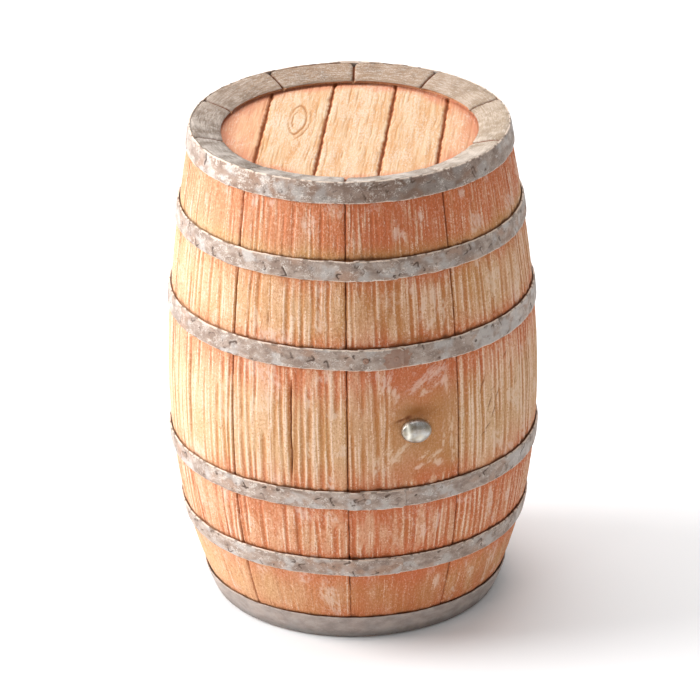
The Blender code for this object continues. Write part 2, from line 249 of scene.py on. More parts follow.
# Where a dry brush has dragged pale paint across the grain: height, half length, half width, tilt.
STROKES = np.array((
    (1, 552, 30, 7, 34), (4.6, 566, 36, 9, 36), (8.6, 571, 22, 10, 46), (6, 545, 26, 5, 33),
    (9.6, 553, 14, 6, 60), (-9.8, 560, 26, 4, 84), (-8.2, 551, 24, 4, 97), (-6.4, 545, 18, 4, 80),
    (-4.4, 424, 26, 6, 46), (-6.6, 408, 14, 7, 60), (6.2, 404, 26, 5, 34), (2.6, 409, 16, 6, 28),
    (-12.2, 394, 30, 5, 87), (-9.8, 388, 26, 4, 93), (-11.6, 576, 16, 4, 92), (-7.6, 577, 14, 4, 80),
    (3.2, 536, 14, 5, 20), (-8.4, 424, 12, 6, 40), (0.6, 385, 18, 4, 20), (10.6, 545, 22, 4, 95),
    (12.6, 392, 26, 4, 90), (-5.6, 530, 14, 4, 70), (4, 700, 34, 6, 78), (8.2, 712, 36, 6, 97),
    (11.2, 686, 30, 5, 86), (6, 668, 18, 6, 40), (0.6, 735, 18, 5, 100), (12.8, 740, 20, 4, 92),
    (-3.8, 852, 22, 6, 88), (-1.6, 842, 18, 5, 112), (5, 868, 20, 4, 90), (3, 246, 22, 6, 88),
    (8, 262, 22, 6, 84), (-5.5, 228, 16, 5, 95), (10.5, 118, 18, 6, 90), (12.2, 440, 50, 4, 90),
    (9.4, 446, 34, 3, 88), (7.4, 388, 10, 8, 60),
)) * (1, MM, MM, MM, 1)
# Brown patches on the wood: height, half width, half height, strength.
SOOT = np.array((
    (0.2, 500.5, 29, 12.5, 1), (3.6, 495, 24, 10, 0.65), (1.6, 642, 24, 7, 0.75), (-5.5, 480, 10, 8, 0.3),
    (0.8, 433, 24, 7, 0.3),
)) * (1, MM, MM, MM, 1)
# Per band from the lowest up: orange stain, the same just under the upper hoop and just over the lower one,
# cream, dry brushing, depth of the carving, and how wide its ridges are.
BAND_LOOKS = (
    (0.51, 0.28, 0.16, 0.28, 0.00, 0.45, 1.15),
    (0.72, 0.30, 0.20, 0.00, 0.40, 1.10, 1.00),
    (0.10, 0.95, 0.60, 0.60, 0.50, 1.00, 1.05),
    (0.30, 0.30, 0.40, 0.30, 0.46, 1.00, 1.00),
    (0.85, 0.20, -0.60, 0.05, 0.16, 0.75, 0.76),
)
STAIN_REACH_UP = (0.030, 0.030, 0.068, 0.030, 0.030)
STAIN_REACH_DOWN = (0.020, 0.020, 0.050, 0.024, 0.024)
ROW_STEP = 0.0027
COLUMN_STEP = 0.0017
STAVE_TINT = (0.64, 0.16, 0.24, 0.10, 0.30, 0.16, 0.28, 0.08, 0.10, 0.20)


def carved_lines(stave, band, half, low, high):
    """Centres, depths and widths of the grooves that the carving runs along one stave's band."""
    rng = np.random.default_rng([11, stave, band])
    wide = BAND_LOOKS[band][6]
    lines, x = [], -half + rng.uniform(0.007, 0.013)
    while x < half - 0.006:
        deep = rng.random() < 0.66
        depth = rng.uniform(0.0011, 0.0021) if deep else rng.uniform(0.0004, 0.0009)
        width = wide * (rng.uniform(0.0022, 0.0044) if deep else rng.uniform(0.0009, 0.0016))
        start, stop = low - 0.02, high + 0.02
        if rng.random() < 0.30:
            cut = rng.uniform(low, high)
            start, stop = (cut, stop) if rng.random() < 0.5 else (start, cut)
        lean = rng.uniform(-0.03, 0.03)
        lines.append((x, depth, width, start, stop, lean, int(rng.integers(1 << 30))))
        x += wide * (rng.uniform(0.0100, 0.0190) if deep else rng.uniform(0.0055, 0.0110))
    return lines


def turned(angle, z, at, height, tilt):
    """Distances along and across a mark that is tilted by some degrees above level."""
    x, y = np.radians(angle - at) * ARC_RADIUS, z - height
    t = math.radians(tilt)
    return x * math.cos(t) + y * math.sin(t), y * math.cos(t) - x * math.sin(t)


def wood(stave, angle, z):
    """How far the carved face lies outside the smooth barrel, and what the paint does there."""
    angle, z = np.broadcast_arrays(np.asarray(angle, float), np.asarray(z, float))
    start, end = stave_span(stave)
    half = math.radians(end - start) * ARC_RADIUS / 2
    x = np.radians(angle - (start + end) / 2) * ARC_RADIUS
    edge = (half - np.abs(x)) * outer_radius(z) / ARC_RADIUS
    flat = smooth(-9.0, -5.0, angle) * smooth(0.352, 0.372, z) * smooth(0.592, 0.582, z)
    flat = flat * (stave == 0) * (1 - 0.45 * smooth(9.0, 13.0, angle))

    carve, crest, shade = (np.zeros(x.shape) for _ in range(3))
    stain, pale, rub = np.full(x.shape, 0.5), np.zeros(x.shape), np.full(x.shape, 0.4)
    for band, (low, high) in enumerate(BANDS):
        inside = (z > low - 0.004) & (z < high + 0.004)
        if not inside.any():
            continue
        xi, zi = x[inside], z[inside]
        level, under, over, cream, brushing, depth_scale, _ = BAND_LOOKS[band]
        deep, brow = np.zeros(xi.shape), np.zeros(xi.shape)
        for at, depth, width, first, last, lean, seed in carved_lines(stave, band, half, low, high):
            centre = at + lean * (zi - (low + high) / 2) + 0.0014 * noise1(zi / 0.055, seed)
            fade = smooth(first - 0.016, first + 0.016, zi) * smooth(last + 0.016, last - 0.016, zi)
            fade = fade * (0.78 + 0.32 * noise1(zi / 0.035, seed + 1))
            off = xi - centre
            deep = np.maximum(deep, depth * fade * bell(off, width))
            brow = np.maximum(brow, fade * min(1, depth / 0.0012) * bell(np.abs(off) - 1.9 * width, 0.0014))
        carve[inside] = deep * depth_scale * (1 - 0.85 * flat[inside])
        crest[inside] = brow * (1 - smooth(0.0002, 0.0008, deep)) * (1 - 0.6 * flat[inside])
        up, down = high - zi, zi - low
        patch = noise2(xi / 0.035 + 40 * stave, zi / 0.05, 31)
        near = under * bell(up, STAIN_REACH_UP[band]) + over * bell(down, STAIN_REACH_DOWN[band])
        stain[inside] = level + near + 0.16 * patch
        pale[inside] = cream + 0.30 * noise2(xi / 0.03 + 7, zi / 0.12 + 40 * stave, 32) - 0.5 * near
        rub[inside] = brushing + 0.30 * noise2(xi / 0.011 + 3, zi / 0.060 + 60 * stave, 33)
        rub[inside] -= 0.45 * np.exp(-up / 0.014) + 0.30 * np.exp(-down / 0.010)
        # Painted shade, with some dirt: a ragged dark line just over each hoop and a thin one just under the
        # next.
        ragged = 1.10 + 0.8 * noise1(xi / 0.008, 90 + band + stave) + 0.25 * noise1(xi / 0.003, 95 + band)
        shade_and_dirt = 1.05 + 0.35 * noise1(xi / 0.017, 98 + band + stave)
        foot = np.exp(-np.maximum(down, 0) / np.abs(0.0036 * ragged))
        shade[inside] = shade_and_dirt * foot + 0.40 * np.exp(-up / 0.0016)

    worn_joint = 1 - 0.5 * smooth(BANDS[0][1], BANDS[0][0], z)
    broken = 0.74 + 0.38 * noise1(z / 0.014, 200 + stave) + 0.26 * noise1(z / 0.0045, 230 + stave)
    joint = (0.0044 * bell(edge, 0.0015) * broken + 0.0012 * bell(edge, 0.0060)) * worn_joint
    dark = bell(edge, 0.0015) * broken * worn_joint
    split = np.zeros(x.shape)
    for at, low, high, depth, width in SPLITS:
        at = at if start < at < end else at % 360
        if not start < at < end:
            continue
        centre = np.radians(angle - at) * ARC_RADIUS + 0.0014 * noise1(z / 0.035, int(at * 10) % 977)
        fade = smooth(low, low + 0.05, z) * smooth(high, high - 0.05, z)
        split = np.maximum(split, depth * fade * bell(centre, width * (0.6 + 0.4 * fade)))
        dark = np.maximum(dark, fade * 0.95 * bell(centre, 0.75 * width) * smooth(0.0025, 0.0045, depth))
    for at, height, length, width, tilt, depth in SCRATCHES:
        if start < at < end:
            along, across = turned(angle, z, at, height, tilt)
            cut = bell(along, length * 0.7) * bell(across, width)
            split = np.maximum(split, depth * cut)
            dark = np.maximum(dark, cut * smooth(0.0004, 0.0022, depth) * 0.85)
    soot = np.zeros(x.shape)
    scrub = noise2((x + 0.5 * z) / 0.0034 + 7 * stave, (z - 0.5 * x) / 0.008, 40)
    hatch = smooth(0.20, 0.75, noise2(x / 0.021 + 17 * stave, z / 0.036 + 5 * stave, 39))
    hatch = hatch * (0.46 + 0.50 * scrub)
    if stave == 0:
        hatch = 0.5 * hatch
        for number, (at, height, length, width, tilt) in enumerate(STROKES):
            along, across = turned(angle, z, at, height, tilt)
            body = bell(along, 0.85 * length) * bell(across, 1.35 * width)
            bristle = noise2(along / 0.010, across / 0.0024 + 9 * number, 36)
            bristle = bristle + 0.6 * noise2(along / 0.004, across / 0.0030 + 5 * number, 37)
            hatch = np.maximum(hatch, body * (0.66 + 0.60 * bristle))
        for at, height, wide, tall, strength in SOOT:
            along, across = turned(angle, z, at, height, 0)
            soot = np.maximum(soot, strength * bell(np.hypot(along / wide, across / tall), 1.0))
        fold_x, fold_z = turned(angle, z, 0.6, 0.4975, 84)
        split = split * (1 - bell(fold_x, 0.009) * bell(fold_z, 0.0022))
        crest = np.maximum(crest, bell(fold_x, 0.008) * bell(fold_z, 0.0020))
    broad = 0.0008 * noise2(x / 0.030 + 9 * stave, z / 0.13, 34)
    scar = 0.00040 * noise2(x / 0.006 + 5 * stave, z / 0.010, 35)
    bead = 0.00070 * (0.35 + crest) * noise2(x / 0.0042 + 3 * stave, z / 0.0062, 38)
    under_hoop = np.zeros(x.shape)
    for low, high in HOOP_SPANS:
        cover = smooth(low - 0.001, low + 0.004, z) * smooth(high + 0.001, high - 0.004, z)
        under_hoop = np.maximum(under_hoop, cover)
    rise = -carve - joint - split - np.abs(broad) - np.abs(scar) - np.abs(bead) - 0.0012 * shade
    rise = rise * (1 - 0.6 * under_hoop) - 0.0002
    return {
        "rise": rise * smooth(0.9485, 0.9460, z) + 0.0003 * smooth(0.9460, 0.9485, z),
        "valley": np.clip(smooth(0.0002, 0.0013, carve) + 0.7 * bell(edge, 0.004) + split / 0.004, 0, 1),
        "crest": np.clip(crest + 0.7 * bell(edge - 0.0050, 0.0014), 0, 1),
        "crack": np.clip(dark, 0, 1),
        "stain": stain,
        "pale": pale,
        "rub": rub - 0.75 * flat + 0.6 * hatch,
        "shade": np.clip(shade, 0, 1),
        "soot": soot,
        "hatch": np.clip(np.maximum(hatch, 0.12 * flat), 0, 1),
    }


def croze(side):
    """The groove for a head, from its corner nearer the base up."""
    outer = HEIGHT - HEAD_DEPTH if side > 0 else HEAD_DEPTH
    low, high = sorted((outer + side * GAP, outer - side * (HEAD_TONGUE + GAP)))
    floor = inner_radius((low + high) / 2) + CROZE_DEPTH
    return [(inner_radius(low), low), (floor, low), (floor, high), (inner_radius(high), high)]


def outer_rows():
    """Heights of the outer face's rows: close together where the carving shows."""
    rows = [0.0, 0.002, 0.004, HEIGHT - 0.0004, HEIGHT]
    for low, high in HOOP_SPANS:
        rows.extend(np.linspace(low, high, 6))
    for low, high in BANDS:
        rows.extend(np.linspace(low, high, round((high - low) / ROW_STEP) + 1))
        rows += [low + 0.0012, high - 0.0012]
    return np.unique(np.round(rows, 5))


def chime_points(side):
    """The end of a stave, from its outer edge to its inner one."""
    end = HEIGHT if side > 0 else 0.0
    outer, inner = outer_radius(end), inner_radius(end)
    points = []
    for w in np.linspace(0.0, 1.0, 26)[1:]:
        slope = max(0.0, (w - 0.12) / 0.88)
        drop = 0.0006 * (1 - min(1, w / 0.05)) ** 2 + CHIME_DROP * (0.80 * slope + 0.20 * slope**6)
        points.append((outer + (inner - outer) * w, end - side * drop))
    return points


def inner_wall(start, stop, count):
    return [(float(inner_radius(z)), z) for z in np.linspace(start, stop, count)[1:-1]]


def stave_section():
    """Closed section: outer face upwards, top chime, inner face downwards, base chime. Each row also says
    which way it is displaced: 0 outwards, 1 up, -1 down, and nan not at all."""
    top, base = croze(1), croze(-1)
    inside = inner_wall(HEIGHT - CHIME_DROP, top[3][1], 4) + top[::-1]
    inside += inner_wall(top[0][1], base[3][1], 26) + base[::-1] + inner_wall(base[0][1], CHIME_DROP, 4)
    outside = [(float(outer_radius(z)), z) for z in outer_rows()]
    parts = ((outside, 0), (chime_points(1), 1), (inside, np.nan), (chime_points(-1)[::-1], -1))
    return np.array([(*point, way) for points, way in parts for point in points])


def chime_rise(stave, angle, radius, side):
    """How far a stave's end stands above the plain chime."""
    start, end = stave_span(stave)
    edge = np.minimum(angle - start, end - angle) * math.pi / 180 * radius
    x = np.radians(angle) * radius
    rng = np.random.default_rng([21, stave, side + 1])
    level = rng.uniform(-0.0018, 0.0)
    notch = 0.0042 * bell(edge, 0.0026) + 0.0012 * bell(edge, 0.007)
    out_here = outer_radius(HEIGHT if side > 0 else 0.0) - radius
    nick = 0.0042 * bell(edge, 0.005) * np.exp(-out_here / 0.007)
    grain = 0.0006 * noise2(x / 0.010, radius / 0.018 + 30 * stave, 41)
    fine = 0.0003 * noise2(x / 0.0035, radius / 0.012 + 11 * stave, 42)
    return level - notch - nick + grain + fine - 0.0006


SECTION = stave_section()


def paint(stave, mesh):
    """Sets the paint's attributes from where each point lies."""
    x, y, z = mesh_points(mesh).T
    radius = np.hypot(x, y)
    start, end = stave_span(stave)
    angle = (np.degrees(np.arctan2(x, -y)) - start + 20) % 360 + start - 20
    look = wood(stave, angle, z)
    inward = outer_radius(z) - radius
    outside = smooth(0.016, 0.011, inward)
    ends = np.maximum(smooth(0.9295, 0.9345, z), smooth(0.0205, 0.0155, z))
    ends = ends * np.maximum(smooth(0.0, 0.0012, inward), smooth(0.9470, 0.9485, z))
    edge = np.minimum(angle - start, end - angle) * math.pi / 180 * radius
    facing = np.cos(np.radians(angle + 15))
    side = (angle + 180) % 360 - 180
    # The left side faces the key light: the painted light below is strongest there, and the painted shade
    # along the hoops is weaker there.
    left = bell(side + 84, 38)
    set_attributes(
        mesh,
        (np.radians(angle) * ARC_RADIUS, radius, z + radius * ends),
        valley=np.where(ends > 0.5, 0.6 * bell(edge, 0.004), look["valley"] * outside),
        crest=look["crest"] * outside * (1 - ends),
        crack=np.maximum(look["crack"] * outside * (1 - ends), bell(edge, 0.0026) * (ends > 0.2)),
        stain=np.where(outside > 0.5, look["stain"], 0.55),
        shade=look["shade"] * outside * (1 - ends) * (1 - 0.4 * left),
        tint=STAVE_TINT[stave],
        ends=ends,
        tone=(0.5 - 0.5 * facing) ** 2.4,
        # Painted highlight: warm cream on the stave ends at the right side.
        glow=bell(side - 68, 46),
        # Painted light: paler on the left side, which faces the key light; the inner faces get the same pale
        # coat.
        bleach=np.maximum(left + bell(side - 276, 38), 0.9 * (1 - outside)),
        **{name: look[name] * outside for name in ("pale", "rub", "soot", "hatch")},
    )


def build_stave(stave):
    start, end = stave_span(stave)
    u = np.linspace(0, 1, round(math.radians(end - start) * ARC_RADIUS / COLUMN_STEP))
    u = u - 0.35 * np.sin(2 * math.pi * u) / (2 * math.pi)
    radius, z, way = SECTION.T[..., None]
    angle = start + (end - start) * u
    rise = np.where(way == 0, wood(stave, angle, z)["rise"], 0.0)
    top, base = (chime_rise(stave, angle, radius, side) for side in (1, -1))
    lift = np.where(way == 1, top, 0.0) - np.where(way == -1, base * 0.6, 0.0)
    inset = np.degrees(np.arcsin(GAP / 2 / (radius + rise)))
    angle = start + inset + (end - start - 2 * inset) * u
    under_top = (way == 0) & (z > HEIGHT - 0.003)
    z = np.where(under_top, np.minimum(z + lift, HEIGHT + top - 0.0002), z + lift)
    return swept_mesh(STAVE_NAMES[stave] + "_carved", around(radius + rise, angle, z))


def bore(mesh, cutter):
    """The mesh with the bung's hole cut through it."""
    name = mesh.name
    piece, tool = add_object("boring", mesh), add_object("bung_bore", cutter)
    cut = piece.modifiers.new("Hole", "BOOLEAN")
    cut.operation, cut.solver, cut.object = "DIFFERENCE", "EXACT", tool
    bored = bpy.data.meshes.new_from_object(piece.evaluated_get(bpy.context.evaluated_depsgraph_get()))
    bpy.data.objects.remove(piece)
    bpy.data.objects.remove(tool)
    bpy.data.meshes.remove(mesh)
    bored.name = name
    return bored


# Hoops ----------

HOOP_FACE_ROWS = 19
HOOP_COLUMN = 0.0021
RUSTY_HOOP = "top_bilge_hoop"


def hoop_path(low, high, lap_end):
    """Angle, lift and distance to the lap's outer end along the strip, and the slope of the wood under it."""
    middle = float(outer_radius((low + high) / 2))
    span = math.degrees(LAP_LENGTH / middle)
    slope = math.atan2(outer_radius(high) - outer_radius(low), high - low)
    lift = (HOOP_THICKNESS + GAP) / math.cos(slope)
    count = round(math.radians(360 + span) * middle / HOOP_COLUMN)
    angle = np.linspace(lap_end - 360 - span, lap_end, count)
    ramp_end = lap_end - span - LAP_SETBACK_DEG
    lifted = lift * smooth(ramp_end - LAP_RAMP_DEG, ramp_end, angle)
    return angle, lifted, np.radians(lap_end - angle) * middle, slope


def hoop_section():
    """Closed section of a strip: 0 to 1 up its width, 0 to 1 through its thickness, 1 on its outer face."""
    across = np.linspace(0, 1, HOOP_FACE_ROWS)
    swell = 1 - 0.34 * np.abs(2 * across - 1) ** 9
    rows = [(a, s, 1.0) for a, s in zip(across, swell)]
    rows += [(1.012, 0.45, 0.3), (1.0, 0.08, 0.0), (0.94, 0.0, 0.0), (0.5, 0.0, 0.0)]
    rows += [(0.06, 0.0, 0.0), (0.0, 0.08, 0.0), (-0.012, 0.45, 0.3)]
    return np.array(rows)


def dented(name, x, z, low, high, head):
    """Hammer marks on a hoop's face: how deep they are, and how dark their steep sides look."""
    rng = np.random.default_rng([51, *name.encode()])
    depth, pit = np.zeros(x.shape), np.zeros(x.shape)
    along = x[0]
    at = along[0]
    while at < along[-1]:
        at += rng.uniform(0.005, 0.013) if rng.random() < 0.58 else rng.uniform(0.018, 0.040)
        size = rng.uniform(0.0028, 0.0075)
        height = rng.uniform(low + 0.1 * (high - low), high - 0.05 * (high - low))
        deep = rng.uniform(0.3, 1.0) ** 1.5 * (0.8 if head else 1.0)
        turn, sweep = rng.uniform(0, 2 * math.pi), rng.uniform(0.0, 0.7)
        wide = rng.uniform(0.0010, 0.0019)
        near = slice(*np.searchsorted(along, (at - 3 * size, at + 3 * size)))
        dx, dz = x[:, near] - at, z[:, near] - height
        far, way = np.hypot(dx, dz), np.arctan2(dz, dx)
        far = far * (1 + 0.22 * np.sin(3 * way + turn))
        lit = smooth(sweep - 0.5, sweep + 0.3, np.cos(way - turn))
        crescent = bell(far - size, wide) * lit
        dish = smooth(size, 0.2 * size, far)
        depth[:, near] += 0.0013 * deep * crescent + 0.0005 * deep * dish
        pit[:, near] = np.maximum(pit[:, near], deep * np.maximum(crescent, 0.28 * dish))
    return depth, pit


def build_hoop(name, material):
    low, high, lap_end = HOOPS[name]
    angle, lift, to_end, slope = hoop_path(low, high, lap_end)
    across, out, face = hoop_section().T[..., None]
    x, across = np.broadcast_arrays(np.radians(angle) * float(outer_radius((low + high) / 2)), across)
    seed = sum(name.encode())
    head, base = name == "top_head_hoop", name == "bottom_head_hoop"
    wave_low = 0.0007 * noise1(x / 0.021, seed) + 0.0004 * noise1(x / 0.006, seed + 1)
    wave_high = 0.0007 * noise1(x / 0.024, seed + 2) + 0.0004 * noise1(x / 0.007, seed + 3)
    wave_low = np.maximum(wave_low, -0.0002) if base else wave_low
    wave_high = np.minimum(wave_high, 0.0004) if head else wave_high
    near_end = np.clip(1 - to_end / 0.009, 0, 1)
    place = 0.5 + (across - 0.5) * (1 - 0.32 * near_end**2)
    z = low + (high - low) * place + wave_low * (1 - across) + wave_high * across
    depth, pit = dented(name, x, z, low, high, head)
    soft = 0.25 if base else 1.0
    rough = 0.00045 * noise2(x / 0.013, z / 0.011 + seed, 52)
    rough = rough + 0.00022 * noise2(x / 0.0045, z / 0.005 + seed, 53)
    worn = np.minimum(0, rough * soft) - depth * soft * face
    thick = HOOP_THICKNESS / math.cos(slope)
    radius = outer_radius(z) + HOOP_CLEARANCE + lift + thick * out + worn * face - 0.0016 * near_end**3 * out
    mesh = swept_mesh(name + "_forged", around(radius, angle, z))

    side = (angle + 180) % 360 - 180
    crack_line = bell(side + 80 - 0.5 * noise1(z / 0.006, 54), 0.42) * smooth(0.30, 0.45, across) * head
    from_rust = np.hypot((side + 5.2) / 4.3, (across - 0.42) / 0.62) + 0.22 * noise2(x / 0.006, z / 0.006, 55)
    off_middle = np.abs(across - 0.5)
    set_attributes(
        mesh,
        (x, radius, z),
        pit=np.maximum(pit, crack_line) * soft * face,
        # Pale along the edges and on the lap's end: edge wear with a painted highlight.
        lip=np.maximum(0.8 * smooth(0.38, 0.50, off_middle), 0.45 * bell(to_end, 0.0014) * face),
        crest=smooth(-0.0010, 0.0, worn - 0.0012 * crack_line) * face,
        rust=smooth(1.08, 0.88, from_rust) * (name == RUSTY_HOOP) * face,
        dirt=smooth(0.40, 0.50, off_middle) * noise1(x / 0.007, seed + 6),
        # Colour set by how the key light falls on the left side: a browner tone there, and more pale flecks
        # as painted highlights.
        bright=bell(side + 58, 30) if head else 0.45 * bell(side + 64, 34),
        dim=(1.0 if head else 0.35) * bell(side - 2, 38),
        calm=base,
        low=smooth(0.55, 0.0, across) * base,
    )
    new_piece(name, mesh, material, "barrel")


def build_rivets(name, material):
    """Hammered rivet heads, sunk in the middle, on the lap of one hoop."""
    low, high, lap_end = HOOPS[name]
    middle = (low + high) / 2
    radius = float(outer_radius(middle))
    facet = math.degrees(LAP_LENGTH / radius) / 3
    slope = math.atan2(outer_radius(high) - outer_radius(low), high - low)
    rows = [(0.0004, -0.004), (0.0027, -0.004), (0.0027, -0.0003), (0.0056, -0.0003)]
    rows += [(0.0058 * math.cos(a), 0.0016 * math.sin(a)) for a in np.linspace(0.05, 1.1, 7)]
    rows += [(0.0018, 0.0010), (0.0010, 0.0007), (0.0003, 0.0006)]
    seat = radius + HOOP_CLEARANCE + (2 * HOOP_THICKNESS + GAP) / math.cos(slope)
    for letter, facets_back in (("a", 2.5), ("b", 0.5)):
        angle = lap_end - facet * facets_back
        node = f"{name}_rivet_{letter}"
        mesh = turned_mesh(node + "_head", rows, 28)
        co = mesh_points(mesh)
        wobble = 1 + 0.07 * noise2(co[:, 0] / 0.003 + angle, co[:, 1] / 0.003, 61)
        co[:, :2] *= wobble[:, None]
        outward = Vector(around(math.cos(slope), angle, -math.sin(slope)))
        co = co @ np.array(outward.to_track_quat("Z", "Y").to_matrix()).T + around(seat, angle, middle)
        set_points(mesh, co)
        clean = dict.fromkeys(("dirt", "bright", "dim", "calm", "low"), 0.0)
        set_attributes(mesh, co.T, pit=0.2, lip=0.15, crest=0.5, rust=name == RUSTY_HOOP, **clean)
        new_piece(node, mesh, material, "barrel", sharp=35)


# Heads ----------

# The knot's place across and along the grain, and its half width and half length.
KNOT = (-0.1035, 0.0560, 0.0165, 0.046)
BOARD_COLUMN = 0.0020
BOARD_ROWS = 150


def board_face(end, board, u, v, left, right):
    """Carving on a head board and its paint: u runs across the boards and v along their grain."""
    edge = np.minimum(u - left, right - u)
    rng = np.random.default_rng([71, board, end == "top"])
    drift = 0.0030 * noise1(v / 0.075, int(rng.integers(1 << 20))) + 0.0010 * noise1(v / 0.02, 72 + board)
    deep, ring, bend, calm = np.zeros(u.shape), np.zeros(u.shape), 0.0, 1.0
    if end == "top" and board == 1:
        du, dv = (u - KNOT[0]) / KNOT[2], (v - KNOT[1]) / KNOT[3]
        far = np.hypot(np.abs(du) + 0.8, dv) / 1.8
        bend = KNOT[2] * np.sign(du) * np.exp(-far * far / 5) * 0.9
        far = far + 0.035 * noise2(u / 0.012, v / 0.016, 79)
        ring = 0.0014 * bell(far - 1.0, 0.060) * (0.60 + 0.40 * smooth(-0.6, 0.4, du))
        ring = ring + 0.0012 * bell(far - 0.76, 0.042) * smooth(0.2, -0.4, du) * smooth(-1.2, -0.6, dv)
        ring = ring + 0.0010 * bell(far - 1.28, 0.046) * smooth(-0.2, 0.6, du) * smooth(1.3, 0.6, dv)
        ring = ring * (0.85 + 0.35 * noise1(v / 0.012, 78))
        calm = smooth(1.1, 1.7, far)
    at = left + rng.uniform(0.004, 0.008)
    while at < right - 0.004:
        depth = rng.uniform(0.0003, 0.0012)
        width = rng.uniform(0.0009, 0.0016)
        seed = int(rng.integers(1 << 20))
        centre = at + drift + 0.0010 * noise1(v / 0.035, seed)
        fade = np.clip(0.55 + 0.6 * noise1(v / 0.06, seed + 1), 0, 1)
        deep = np.maximum(deep, depth * fade * bell(u - bend - centre, width))
        at += rng.uniform(0.0042, 0.0088)
    wobble = 0.0009 * noise1(v / 0.011, 73 + board) + 0.0007 * noise1(v / 0.03, 74 + board)
    wobble = wobble + 0.0004 * noise1(v / 0.0045, 79 + board)
    broken = 1 + 0.30 * noise1(v / 0.012, 84 + board) + 0.12 * noise1(v / 0.0035, 89 + board)
    gutter = bell(edge + wobble, 0.0036 * broken)
    radius = np.hypot(u, v)
    fall = 0.0012 * smooth(0.225, 0.249, radius)
    chip = 0.0
    if end == "top":
        chip = 0.0030 * bell(np.hypot((u - 0.068) / 0.006, (v + 0.098) / 0.008), 1.0)
        chip = chip + 0.0020 * bell((u + 0.155) / 0.004, 1.0) * bell((v + 0.075) / 0.02, 1.0)
    swell = 0.0005 * noise2(u / 0.02 + 13 * board, v / 0.09, 75)
    crack = bell(edge + wobble, 0.0041 * broken) * (0.95 + 0.2 * noise1(v / 0.013, 76 + board))
    return -deep * calm - ring - 0.0046 * gutter - fall - chip - np.abs(swell), {
        "ridge": 1 - np.clip((deep * calm + ring) / 0.0012, 0, 1),
        "crack": np.clip(crack, 0, 1),
        "rim": smooth(0.185, 0.246, radius + 0.012 * noise2(u / 0.03, v / 0.03, 77)),
        "knot": bell(ring - 0.0012, 0.0007) * (ring > 0.0004),
    }


def build_head(end, material):
    side, joints = HEADS[end]
    face = HEIGHT - HEAD_DEPTH if side > 0 else HEAD_DEPTH
    shoulder, back = face - side * HEAD_TONGUE, face - side * HEAD_THICKNESS
    reach = float(inner_radius((face + shoulder) / 2)) + CROZE_DEPTH - 2 * GAP
    neck = float(min(inner_radius(shoulder), inner_radius(face))) - 2 * GAP
    turn = math.radians(GRAIN_DEG)
    edges = (-reach * 0.9985,) + joints + (reach * 0.9985,)
    for board, (left, right) in enumerate(zip(edges, edges[1:])):
        first = left + (GAP / 2 if board else 0)
        last = right - (GAP / 2 if board < len(joints) else 0)
        w = np.linspace(0, 1, max(16, round((last - first) / BOARD_COLUMN)))
        w = w - 0.30 * np.sin(2 * math.pi * w) / (2 * math.pi)
        v, u = np.meshgrid(np.linspace(-1, 1, BOARD_ROWS), first + (last - first) * w, indexing="ij")
        v = v * np.sqrt(reach**2 - u**2)
        limits = (left if board else -1.0, right if board < len(joints) else 1.0)
        rise, look = board_face(end, board, u, v, *limits)
        radius = np.hypot(u, v)
        bevel = np.clip((neck - radius) / HEAD_BEVEL, 0, 1)
        outer = face + side * rise * smooth(neck + 0.004, neck - 0.001, radius)
        inner = shoulder + (back - shoulder) * bevel
        x = u * math.cos(turn) + v * math.sin(turn)
        y = -u * math.sin(turn) + v * math.cos(turn)
        points = np.concatenate([np.stack([x, y, z], -1).reshape(-1, 3) for z in (outer, inner)])
        number = np.arange(u.size).reshape(u.shape)
        loop = np.concatenate([number[0], number[1:, -1], number[-1, -2::-1], number[-2:0:-1, 0]])
        ahead = np.roll(loop, -1)
        quads = ring_faces(*u.shape, closed_rows=False)
        wall = np.stack([loop, loop + u.size, ahead + u.size, ahead], -1)
        faces = np.concatenate([quads, quads[:, ::-1] + u.size, wall])[:, ::side]
        node = f"{end}_head_board_{board + 1}"
        mesh = make_mesh(node + "_planed", points, faces)
        # The underside takes the paint's plain values.
        both = {name: np.append(value, np.zeros(u.size)) for name, value in look.items()}
        both["ridge"][u.size:] = 0.8
        salmon = 0.5 if end == "bottom" else 0.90 if board == 0 else 0.80 if board == 4 else 0.0
        grain = np.tile(u.ravel(), 2), np.tile(v.ravel(), 2), points[:, 2]
        set_attributes(mesh, grain, salmon=salmon, **both)
        new_piece(node, mesh, material, "barrel", sharp=60)


# Bung ----------

BORE_OVERRUN = 0.012
CAP_RISE = 0.0175


